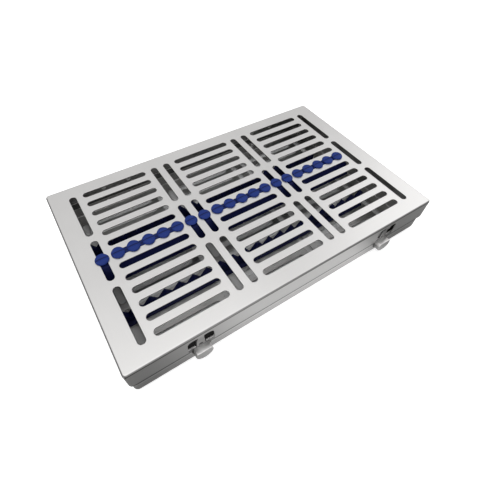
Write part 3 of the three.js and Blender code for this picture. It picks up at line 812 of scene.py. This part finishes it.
def rivet(name):
    """A rivet along Y: a flat tail, a shank and a domed head, as a profile turned about Y.

    The head's height falls as the square root of one less the radius share to the power 2.2."""
    low, high = box_of(name)
    x, z = (low[0] + high[0]) / 2, (low[2] + high[2]) / 2
    tail, tail_top, face = low[1], low[1] + RIVET_TAIL, high[1] - RIVET_HEAD
    profile = [(0, tail), (RIVET_TAIL_RADIUS - RIVET_TAIL_EDGE, tail)]
    profile += [(RIVET_TAIL_RADIUS, tail + RIVET_TAIL_EDGE), (RIVET_TAIL_RADIUS, tail_top)]
    profile += [(RIVET_RADIUS, tail_top), (RIVET_RADIUS, face)]
    for share in np.linspace(1, 0, RIVET_DOME_STEPS + 1):
        height = RIVET_HEAD * math.sqrt(max(0, 1 - share**RIVET_SQUARENESS))
        profile.append((RIVET_HEAD_RADIUS * share, face + height))
    grid = turned(profile, 0, 0, RIVET_STEPS)
    along = np.stack([grid[..., 0] + x, grid[..., 2], -grid[..., 1] + z], axis=-1)
    return smoothed(piece(name, "_turned", [along], capped=False))


def knuckle(radius, x, low, high, y, z, ease=KNUCKLE_EDGE):
    """A round barrel along X with broken ends."""
    profile = [(0, low), (radius - ease, low), (radius, low + ease)]
    profile += [(radius, high - ease), (radius - ease, high), (0, high)]
    return turned_along_x(profile, y, z, KNUCKLE_STEPS) + [x, 0, 0]


def slab(low, high):
    """A rectangular block as a grid of two rows."""
    corners = [(low[0], low[1]), (high[0], low[1]), (high[0], high[1]), (low[0], high[1])]
    return np.array([[(x, y, z) for x, y in corners] for z in (low[2], high[2])], float)


def hinge_leaf(name, of_lid):
    """A plate with its knuckles and the bore through them.

    The lid's plate is two blocks. The tray's is a block and a stepped section carried along X."""
    low, high = box_of(name)
    axis_y, axis_z = high[1] - KNUCKLE_RADIUS, lid_rim
    middle = (low[0] + high[0]) / 2
    end = (high[0] - low[0]) / 2
    inner = lid_high[1] + SEAT_GAP
    outer = inner + LEAF
    if of_lid:
        half = HINGE_MIDDLE / 2
        spans = [(-half, half)]
        under, inside_top = axis_z + KNUCKLE_RADIUS + KNUCKLE_GAP, high[2] - LEAF_OVERLAP
        parts = [slab((middle - end, inner, under), (middle + end, outer, high[2]))]
        parts.append(slab((middle - half, inner, axis_z), (middle + half, outer, inside_top)))
    else:
        half = HINGE_MIDDLE / 2 + KNUCKLE_GAP
        spans = [(-end, -half), (half, end)]
        wall, foot = low[1], low[2] + LEAF_OVERLAP
        step_high = axis_z - KNUCKLE_RADIUS
        step_low = step_high - LEAF_STEP
        plate_top = step_low - LEAF_STEP_EASE
        parts = [slab((middle - end, wall, low[2]), (middle + end, wall + LEAF, plate_top))]
        section = [(wall, foot), (wall + LEAF, foot), (wall + LEAF, plate_top)]
        section += [(outer, step_high - LEAF_STEP_EASE), (outer, axis_z), (inner, axis_z)]
        section += [(inner, step_high), (wall, step_low)]
        for a, b in spans:
            parts.append(np.array([[(middle + x, y, z) for y, z in section] for x in (a, b)], float))
    for a, b in spans:
        parts.append(knuckle(KNUCKLE_RADIUS, middle, a, b, axis_y, axis_z))
    leaf = piece(name, "_pressed", parts[:1])
    for part in parts[1:]:
        combined(leaf, [part], "UNION")
    bore = knuckle(KNUCKLE_RADIUS - LEAF, middle, -end - OVERRUN, end + OVERRUN, axis_y, axis_z, 0)
    combined(leaf, [bore], "DIFFERENCE")
    return edges_broken(leaf, LEAF_EDGE)


def hinge_pin(name):
    """A pin along X with a low head at each end."""
    low, high = box_of(name)
    y, z = (low[1] + high[1]) / 2, (low[2] + high[2]) / 2
    start, end = low[0], high[0]
    radius, head = KNUCKLE_RADIUS - LEAF - SEAT_GAP, high[2] - z
    profile = [(0, start), (head - PIN_EDGE_RUN, start), (head, start + PIN_EDGE_RISE)]
    profile += [(head, start + PIN_HEAD), (radius, start + PIN_HEAD)]
    profile += [(r, end + start - x) for r, x in profile[::-1]]
    return smoothed(piece(name, "_turned", [turned_along_x(profile, y, z, PIN_STEPS)], capped=False))


class Value:
    """A socket of numbers that Python's operators join with Math nodes."""

    def __init__(self, tree, socket):
        self.tree = tree
        self.socket = socket

    def math(self, operation, *others):
        return self.tree.node("ShaderNodeMath", {"operation": operation}, [self, *others])

    def __add__(self, other):
        return self.math("ADD", other)

    def __sub__(self, other):
        return self.math("SUBTRACT", other)

    def __rsub__(self, other):
        return self.tree.node("ShaderNodeMath", {"operation": "SUBTRACT"}, [other, self])

    def __mul__(self, other):
        return self.math("MULTIPLY", other)

    __radd__ = __add__
    __rmul__ = __mul__

    def smoothly(self, low, high):
        """0 below low, 1 above high and smooth between."""
        ranged = {"interpolation_type": "SMOOTHSTEP"}
        return self.tree.node("ShaderNodeMapRange", ranged, [self, low, high, 0.0, 1.0])

    def past(self, low, high):
        """0 below one length in millimetres, 1 above the other and smooth between."""
        return self.smoothly(low * MM, high * MM)


class Tree:
    """One material's nodes. node() makes any of them from its settings and socket values."""

    def __init__(self, name):
        self.start(bpy.data.materials.new(name))
        self.shader = self.nodes["Principled BSDF"]
        self.place = self.node("ShaderNodeTexCoord", {}, [], "Object")

    def start(self, owner):
        self.owner = owner
        owner.use_nodes = True
        self.nodes, self.links = owner.node_tree.nodes, owner.node_tree.links

    def node(self, kind, settings, sockets, output=0):
        made = self.nodes.new(kind)
        for key, value in settings.items():
            if key == "stops":
                self.place_stops(made.color_ramp.elements, value)
            else:
                setattr(made, key, value)
        pairs = sockets.items() if isinstance(sockets, dict) else enumerate(sockets)
        for key, value in pairs:
            self.fill(made.inputs[key], value)
        return Value(self, made.outputs[output])

    def place_stops(self, elements, stops):
        while len(elements) < len(stops):
            elements.new(1.0)
        for element, (place, colour) in zip(elements, stops):
            element.position, element.color = place, colour

    def fill(self, socket, value):
        if isinstance(value, Value):
            self.links.new(value.socket, socket)
        elif value is not None:
            socket.default_value = value

    def noise(self, scale, detail, place=None):
        sockets = {"Vector": place or self.place, "Scale": scale, "Detail": detail}
        return self.node("ShaderNodeTexNoise", {}, sockets)

    def ray(self, kind):
        """1 for one kind of ray and 0 for the others."""
        return self.node("ShaderNodeLightPath", {}, [], kind)

    def place_axis(self, axis):
        """One Object coordinate, in metres."""
        split = self.node("ShaderNodeSeparateXYZ", {}, [self.place])
        return Value(self, split.socket.node.outputs[axis])

    def stretched(self, shares):
        """Object coordinates multiplied along each axis."""
        return self.node("ShaderNodeVectorMath", {"operation": "MULTIPLY"}, [self.place, shares])

    def mixed(self, factor, first, second):
        """A colour between two others. Sockets 6 and 7 and output 2 are a Mix node's colours."""
        sockets = {0: factor, 6: first, 7: second}
        return self.node("ShaderNodeMix", {"data_type": "RGBA"}, sockets, 2)

    def tones(self, levels, share):
        """Greys by height: pairs of a height in millimetres and a tone, joined by straight lines."""
        stops = [(height / case_top, grey(tone * share, WARMTH)) for height, tone in levels]
        along = self.place_axis("Z") * (1 / (case_top * MM))
        return self.node("ShaderNodeValToRGB", {"stops": stops}, [along])

    def bump(self, height, strength, distance):
        sockets = {"Strength": strength, "Distance": distance * MM, "Height": height}
        return self.node("ShaderNodeBump", {}, sockets)

    def set(self, **sockets):
        """Fills the shader's sockets by name, and gives the material or world that they belong to."""
        for key, value in sockets.items():
            self.fill(self.shader.inputs[key.replace("_", " ")], value)
        return self.owner


# Tones of the steel, and how far some of them reach
WARMTH = 0.011
TONE_SPREAD = 0.04
LID_TONE = 0.78
# Below the pale lid top, the bend, the lid's underside, the walls and the tray's floor are darker as
# painted shade
BEND_TONE = 0.26
# A painted dark line under the lid's bend
BEND_LINE_TONE = 0.09
# Painted shadow along the lid's lower edge, where it meets the tray
SEAM_SHADOW_TONE = 0.05
WALL_TONE = 0.31
FLOOR_SHEET_TONE = 0.54
# On the tray's wall: a painted highlight line, a painted shadow band above it under the lid's rim, and a
# painted highlight on the rim's edge
HIGHLIGHT_LINE_TONE = 0.55
RIM_SHADOW_TONE = 0.14
RIM_HIGHLIGHT_TONE = 0.85
SEAM_HEIGHT = 0.8
LID_SHADE = 4.6
BRIGHT_TONE = 0.70
# The button's top is lighter as a painted highlight, and its flanks and front darker as painted shade
BUTTON_TONE = 0.90
FLANK_TONE = 0.22
BUTTON_FRONT_TONE = 0.36
LIT_TOP_DEPTH = 3.2
SPRING_DARK = 0.46
SPRING_LIGHT = 0.56
SPRING_WARMTH = 0.01

# Changes of tone: heights from a line of the sheet, and the tone at each
SEAM_FADE = ((0, SEAM_SHADOW_TONE), (0.3, WALL_TONE))
BEND_FADE = ((-0.5, WALL_TONE), (0, BEND_LINE_TONE), (0.5, BEND_LINE_TONE))
UNDER_FADE = ((0, BEND_TONE),)
TOP_FADE = ((-0.25, BEND_TONE), (-0.08, LID_TONE))
FLOOR_FADE = ((0.3, FLOOR_SHEET_TONE), (0.8, WALL_TONE))
SHADE_FADE = ((-1.0, WALL_TONE), (-0.5, HIGHLIGHT_LINE_TONE), (-0.2, HIGHLIGHT_LINE_TONE), (0.1, RIM_SHADOW_TONE))
RIM_FADE = ((-0.35, RIM_SHADOW_TONE), (-0.2, RIM_HIGHLIGHT_TONE))

# Painted shade at the latches, on the tray's floor and on the tongues
LATCH_SHADE_TONE = 0.03
TINT_NEAR = -87.0
TINT_FAR = -76.0
TINT_LEFT = -108.0
TINT_RIGHT = -74.0
TINT_SLANT = 22.0
TINT_EASE_ALONG = 3.0
TINT_EASE_ACROSS = 1.0
TONGUE_TONE = 0.20
TONGUE_EASE = 0.8
TONGUE_FADE = 2.0
TONGUE_SHADE_BACK = (-80.0, -79.0)

# Colours of the silicone: navy is painted shade for what lies under the lid, royal blue what stands above
# it
NAVY_DARK = (0.002, 0.004, 0.038, 1.0)
NAVY = (0.003, 0.007, 0.062, 1.0)
ROYAL_DARK = (0.008, 0.026, 0.165, 1.0)
ROYAL = (0.012, 0.034, 0.205, 1.0)
DUST = (0.25, 0.28, 0.45, 1.0)
DUST_SHARE = 0.03
LIT_FADE = 0.8
# Painted shade along the crease of the stud heads
CREASE_SHADE_SPAN = (0.2, 1.0)
CREASE_SHADE_SHARE = 0.7
SILICONE_GLOSS = 0.2

# Textures: a noise is its scale per metre and its detail, and a bump its strength and distance
SHEET_CLOUD = (14.0, 3.0)
CLOUD_LEVELS = (0.3, 0.7)
CLOUD_SHARE = 0.6
SHEET_GRAIN = (5200.0, 2.0)
SHEET_BUMP = (0.12, 0.05)
SHEET_RUBS = (60.0, 4.0)
RUB_STRETCH = (1.0, 14.0, 14.0)
RUB_LEVELS = (0.60, 0.78)
BRIGHT_CLOUD = (90.0, 3.0)
BRIGHT_LINES = (900.0, 2.0)
BRIGHT_STRETCH = (0.2, 1.0, 1.0)
BRIGHT_BUMP = (0.08, 0.04)
SPRING_LINES = (700.0, 3.0)
SPRING_STRETCH = (0.05, 1.0, 1.0)
SILICONE_CLOUD = (120.0, 3.0)
SILICONE_SKIN = (2600.0, 2.0)
SILICONE_BUMP = (0.15, 0.06)
SILICONE_DUST = (420.0, 5.0)
DUST_LEVELS = (0.55, 0.8)

# Roughness of each finish, and what its textures add or take away
SHEET_ROUGH = 0.30
CLOUD_ROUGH = 0.08
GRAIN_ROUGH = 0.06
RUB_SMOOTH = 0.05
BRIGHT_ROUGH = 0.26
BRIGHT_LINE_ROUGH = 0.10
GROUND_ROUGH = 0.12
SPRING_ROUGH = 0.28
SPRING_LINE_ROUGH = 0.15
SILICONE_ROUGH = 0.50
SILICONE_CLOUD_ROUGH = 0.10
DUST_ROUGH = 0.1


def grey(value, warmth=0):
    return (value * (1 + warmth), value, value * (1 - warmth), 1.0)


def satin_steel(name, tones, painted_shade_of, painted_shade_tone):
    """Blasted sheet: a fine even grain, faint clouds in tone and sheen, and a few light rubs.

    tones gives heights and the sheet's tone there: the top face is pale, and the walls, the other side and
    bands along the edges are darker or lighter as painted shade and painted highlights. The last two
    arguments give where painted shade darkens the sheet at the latches, and its tone."""
    tree = Tree(name)
    cloud = tree.noise(*SHEET_CLOUD)
    grain = tree.noise(*SHEET_GRAIN)
    rubs = tree.noise(*SHEET_RUBS, tree.stretched(RUB_STRETCH)).smoothly(*RUB_LEVELS)
    spread = cloud.smoothly(*CLOUD_LEVELS) * CLOUD_SHARE + grain * (1 - CLOUD_SHARE)
    colour = tree.mixed(spread, tree.tones(tones, 1 - TONE_SPREAD), tree.tones(tones, 1 + TONE_SPREAD))
    # Painted shade at the latches darkens the sheet
    colour = tree.mixed(painted_shade_of(tree), colour, grey(painted_shade_tone, WARMTH))
    roughness = SHEET_ROUGH + cloud * CLOUD_ROUGH + grain * GRAIN_ROUGH - rubs * RUB_SMOOTH
    normal = tree.bump(grain, *SHEET_BUMP)
    return tree.set(Base_Color=colour, Metallic=1.0, Roughness=roughness, Normal=normal)


def bright_steel(name, button=None):
    """Turned and tumbled steel: finer grain, and faint turning lines.

    A button's top is lighter as a painted highlight, its flanks are darker as painted shade, and its front
    is rougher and darker as painted shade."""
    tree = Tree(name)
    cloud = tree.noise(*BRIGHT_CLOUD)
    lines = tree.noise(*BRIGHT_LINES, tree.stretched(BRIGHT_STRETCH))
    tones = [grey(BRIGHT_TONE + spread, WARMTH) for spread in (-TONE_SPREAD, TONE_SPREAD)]
    colour = tree.mixed(cloud, *tones)
    roughness = BRIGHT_ROUGH + lines * BRIGHT_LINE_ROUGH
    if button is not None:
        low, high = button
        # Painted highlight on the button's top, painted shade on its flanks
        lit_top = tree.place_axis("Z").past(high[2] - LIT_TOP_DEPTH, high[2] - BUTTON_EDGE)
        colour = tree.mixed(lit_top, grey(FLANK_TONE, WARMTH), grey(BUTTON_TONE, WARMTH))
        front = 1 - tree.place_axis("Y").past(low[1], low[1] + BUTTON_EDGE)
        colour = tree.mixed(front, colour, grey(BUTTON_FRONT_TONE, WARMTH))
        roughness = roughness + front * GROUND_ROUGH
    normal = tree.bump(lines, *BRIGHT_BUMP)
    return tree.set(Base_Color=colour, Metallic=1.0, Roughness=roughness, Normal=normal)


def spring_steel():
    """Rolled strip: long fine lines and a slightly darker tone."""
    tree = Tree("spring_steel")
    lines = tree.noise(*SPRING_LINES, tree.stretched(SPRING_STRETCH))
    colour = tree.mixed(lines, grey(SPRING_DARK, SPRING_WARMTH), grey(SPRING_LIGHT, SPRING_WARMTH))
    return tree.set(Base_Color=colour, Metallic=1.0, Roughness=SPRING_ROUGH + lines * SPRING_LINE_ROUGH)


def blue_silicone(name, lit_above):
    """Moulded silicone with a fine matt skin: navy below a height as painted shade, royal blue above it,
    and painted shade along the heads' crease.
    """
    tree = Tree(name)
    cloud = tree.noise(*SILICONE_CLOUD)
    skin = tree.noise(*SILICONE_SKIN)
    dust = tree.noise(*SILICONE_DUST).smoothly(*DUST_LEVELS)
    deep = tree.mixed(cloud, NAVY_DARK, NAVY)
    outside = tree.mixed(cloud, ROYAL_DARK, ROYAL)
    lit_share = tree.place_axis("Z").past(lit_above, lit_above + LIT_FADE)
    # Painted shade in the heads' crease
    crease_shade = 1 - tree.place_axis("Y").math("ABSOLUTE").past(*CREASE_SHADE_SPAN)
    lit_share = lit_share * (1 - crease_shade * CREASE_SHADE_SHARE)
    base = tree.mixed(lit_share, deep, outside)
    colour = tree.mixed(dust * DUST_SHARE, base, DUST)
    normal = tree.bump(skin, *SILICONE_BUMP)
    roughness = SILICONE_ROUGH + cloud * SILICONE_CLOUD_ROUGH + dust * DUST_ROUGH
    tree.set(Base_Color=colour, Roughness=roughness, Normal=normal)
    return tree.set(Specular_IOR_Level=SILICONE_GLOSS)


def dressed(obj, material, body, node):
    """Gives a piece its finish and lets it stand for its node."""
    obj.data.materials.clear()
    obj.data.materials.append(material)
    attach(obj, body)
    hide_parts(node)


def levels(*fades):
    """Heights and tones in one list, from pairs of a line's height and the change of tone at it."""
    return [(line + above, tone) for line, fade in fades for above, tone in fade]


def lid_tones():
    """Painted shadow along the lid's lower edge, walls darker as painted shade, a painted dark line under
    the bend, and the pale top over an underside darkened as painted shade.
    """
    seam, bend = lid_rim + SEAM_HEIGHT, lid_top - LID_BEND
    return levels((seam, SEAM_FADE), (bend, BEND_FADE), (lid_under, UNDER_FADE), (lid_top, TOP_FADE))


def tray_tones():
    """The floor and walls, darker than the lid's top as painted shade, a painted highlight line where the
    lid's shade starts, a painted shadow band up under the lid's rim, and a painted highlight on the rim's
    edge.
    """
    return levels((tray_floor, FLOOR_FADE), (lid_rim - LID_SHADE, SHADE_FADE), (tray_rim, RIM_FADE))


def within(value, low, high, ease):
    """1 between two lengths in millimetres, and 0 past an ease outside them."""
    return value.past(low - ease, low) * (1 - value.past(high, high + ease))


def shaded_latch_floor(tree):
    """Painted shade on the tray's floor inside its front wall, at each latch spring."""
    x, y, z = [tree.place_axis(axis) for axis in "XYZ"]
    left = within(x, TINT_LEFT, TINT_RIGHT, TINT_EASE_ALONG)
    right = within(x, -TINT_RIGHT, -TINT_LEFT + TINT_SLANT, TINT_EASE_ALONG)
    inside = within(y, TINT_NEAR, TINT_FAR, TINT_EASE_ACROSS) * z.past(tray_under, tray_floor)
    return (left + right) * inside


def shaded_tongues(tree):
    """The two tongues, which are bent, darkened below the arches' tops as painted shade."""
    x, y = tree.place_axis("X").math("ABSOLUTE"), tree.place_axis("Y")
    half = TONGUE_TIP_WIDTH / 2
    beside = within(x, LATCH_AT - half, LATCH_AT + half, TONGUE_EASE)
    low = 1 - tree.place_axis("Z").past(arch_top - TONGUE_FADE, arch_top)
    return beside * low * (1 - y.past(*TONGUE_SHADE_BACK))


def build():
    bright, spring = bright_steel("bright_steel"), spring_steel()
    button_steel = bright_steel("button_steel", box_of("left_latch_button"))
    silicone = blue_silicone("blue_silicone", lid_top - RIB_SUNK - LIT_FADE / 2)
    lid_steel = satin_steel("satin_steel_lid", lid_tones(), shaded_tongues, TONGUE_TONE)
    tray_steel = satin_steel("satin_steel_tray", tray_tones(), shaded_latch_floor, LATCH_SHADE_TONE)
    dressed(lid_sheet(), lid_steel, "lid", "lid")
    dressed(tray_sheet(), tray_steel, "tray", "tray")
    for word, side in (("left", -1), ("right", 1)):
        name = "lid_rail_" + word
        dressed(lid_rail(name, side), silicone, "lid", name)
        for place, row in (("front", -TRAY_RAIL_ROW), ("back", TRAY_RAIL_ROW)):
            name = place + "_tray_rail_" + word
            dressed(tray_rail(name, side, row), silicone, "tray", name)
        name = word + "_latch_button"
        dressed(push_button(name, side), button_steel, word + "_latch", name)
        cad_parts[word + "_latch_spring"].data.materials.clear()
        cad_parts[word + "_latch_spring"].data.materials.append(spring)
        for body in ("lid", "tray"):
            name = f"{word}_hinge_{body}_leaf"
            dressed(hinge_leaf(name, body == "lid"), bright, body, name)
            for place in ("outer", "inner"):
                name = f"{word}_hinge_{body}_rivet_{place}"
                dressed(rivet(name), bright, body, name)
        name = word + "_hinge_pin"
        dressed(hinge_pin(name), bright, "tray", name)


# Studio: the pairs HORIZON, BACK and BAND are coordinates of the direction that is looked in
FLOOR_REACH = 4000.0
FLOOR_TONE = 0.80
CAMERA_GLOW = 0.60
MIRROR_GLOW = 0.75
MIRROR_DARK = 0.47
GLOW_RISE = (-142.0, -30.0)
GLOW_FALL = (66.0, 120.0)
GLOW_EASE = 6.0
SKY = 1.24
HORIZON_SHARE = 0.18
HORIZON = (0.05, 0.50)
BACK_DIM = 0.43
BACK = (0.36, 0.51)
BAND_DIM = 0.80
BAND_RISE = (0.37, 0.46)
BAND_FALL = (0.52, 0.61)
KEY_PLACE = (800, 60, 730)
KEY_AIM = (0, 0, 30)
KEY_SIZE = 600.0
KEY_POWER = 0.2
CAMERA_PLACE = (-123.7, -175.9, 253.9)
CAMERA_AIM = (-26.6, -38.1, 37.8)
CAMERA_ROLL = 2.83
CAMERA_LENS = 25.87
CAMERA_SENSOR = 36.0
CAMERA_CLIP = 10.0


def floor():
    """A plain pale floor that keeps the shadow.

    It glows outside the case's outline: white to the camera, and to reflections a painted reflection,
    bright in a band across the case's middle and darker past the band's ends."""
    reach = FLOOR_REACH
    corners = [(-reach, -reach, 0), (reach, -reach, 0), (reach, reach, 0), (-reach, reach, 0)]
    mesh = bpy.data.meshes.new("floor")
    mesh.from_pydata((np.array(corners) * MM).tolist(), [], [[0, 1, 2, 3]])
    plane = object_of("floor", mesh)
    tree = Tree("pale_floor")
    seen, glossy = tree.ray("Is Camera Ray"), tree.ray("Is Glossy Ray")
    through = tree.ray("Is Transmission Ray")
    x, y = tree.place_axis("X"), tree.place_axis("Y")
    along = x.math("ABSOLUTE").past(tray_high[0] - GLOW_EASE, tray_high[0])
    across = y.math("ABSOLUTE").past(tray_high[1] - GLOW_EASE, tray_high[1])
    beside = along.math("MAXIMUM", across)
    lit = x.past(*GLOW_RISE) * (1 - x.past(*GLOW_FALL))
    glow = (seen * CAMERA_GLOW + (glossy + through) * lit * MIRROR_GLOW) * beside
    dim = glossy * (1 - lit) * beside
    tree.set(Base_Color=tree.mixed(dim, grey(FLOOR_TONE), grey(MIRROR_DARK)))
    tree.set(Roughness=1.0, Specular_IOR_Level=0.0)
    tree.set(Emission_Color=tree.mixed(glow, grey(0.0), grey(1.0)), Emission_Strength=1.0)
    plane.data.materials.append(tree.owner)


class Sky(Tree):
    """The world's nodes, which read the direction that is looked in."""

    def __init__(self, name):
        self.start(bpy.data.worlds.new(name))
        self.shader = self.nodes["Background"]
        self.place = self.node("ShaderNodeTexCoord", {}, [], "Generated")


def sky():
    """A studio sky: soft and even above, dark near the horizon, and dimmer behind the case.

    An upright band to the right is dimmer too. The camera itself sees plain white."""
    tree = Sky("studio")
    up = tree.place_axis("Z").smoothly(*HORIZON)
    back = tree.place_axis("Y").smoothly(*BACK)
    x = tree.place_axis("X")
    band = x.smoothly(*BAND_RISE) * (1 - x.smoothly(*BAND_FALL)) * (1 - back)
    dimmed = (1 - back * BACK_DIM) * (1 - band * BAND_DIM)
    strength = (HORIZON_SHARE + up * (1 - HORIZON_SHARE)) * dimmed * SKY
    seen = tree.ray("Is Camera Ray")
    bpy.context.scene.world = tree.set(Color=grey(1.0), Strength=strength * (1 - seen) + seen)


def softbox(name, place, aim, size, power):
    """A square lamp at a place, turned towards its aim."""
    light = bpy.data.lights.new(name, "AREA")
    light.shape = "RECTANGLE"
    light.size, light.size_y = size * MM, size * MM
    light.energy = power
    holder = object_of(name, light)
    holder.location = Vector(place) * MM
    holder.rotation_euler = (Vector(aim) - Vector(place)).to_track_quat("-Z", "Y").to_euler()


def camera():
    """The photograph's viewpoint, fitted on the lid's corners, slots and studs."""
    place, aim = Vector(CAMERA_PLACE) * MM, Vector(CAMERA_AIM) * MM
    data = bpy.data.cameras.new("camera")
    data.lens = CAMERA_LENS
    data.sensor_width = CAMERA_SENSOR
    data.clip_start = CAMERA_CLIP * MM
    holder = object_of("camera", data)
    holder.location = place
    look = (aim - place).to_track_quat("-Z", "Y")
    roll = Quaternion((0, 0, 1), math.radians(CAMERA_ROLL))
    holder.rotation_euler = (look @ roll).to_euler()
    bpy.context.scene.camera = holder


build()
floor()
sky()
softbox("soft_key", KEY_PLACE, KEY_AIM, KEY_SIZE, KEY_POWER)
camera()
bpy.context.scene.view_settings.view_transform = "Standard"
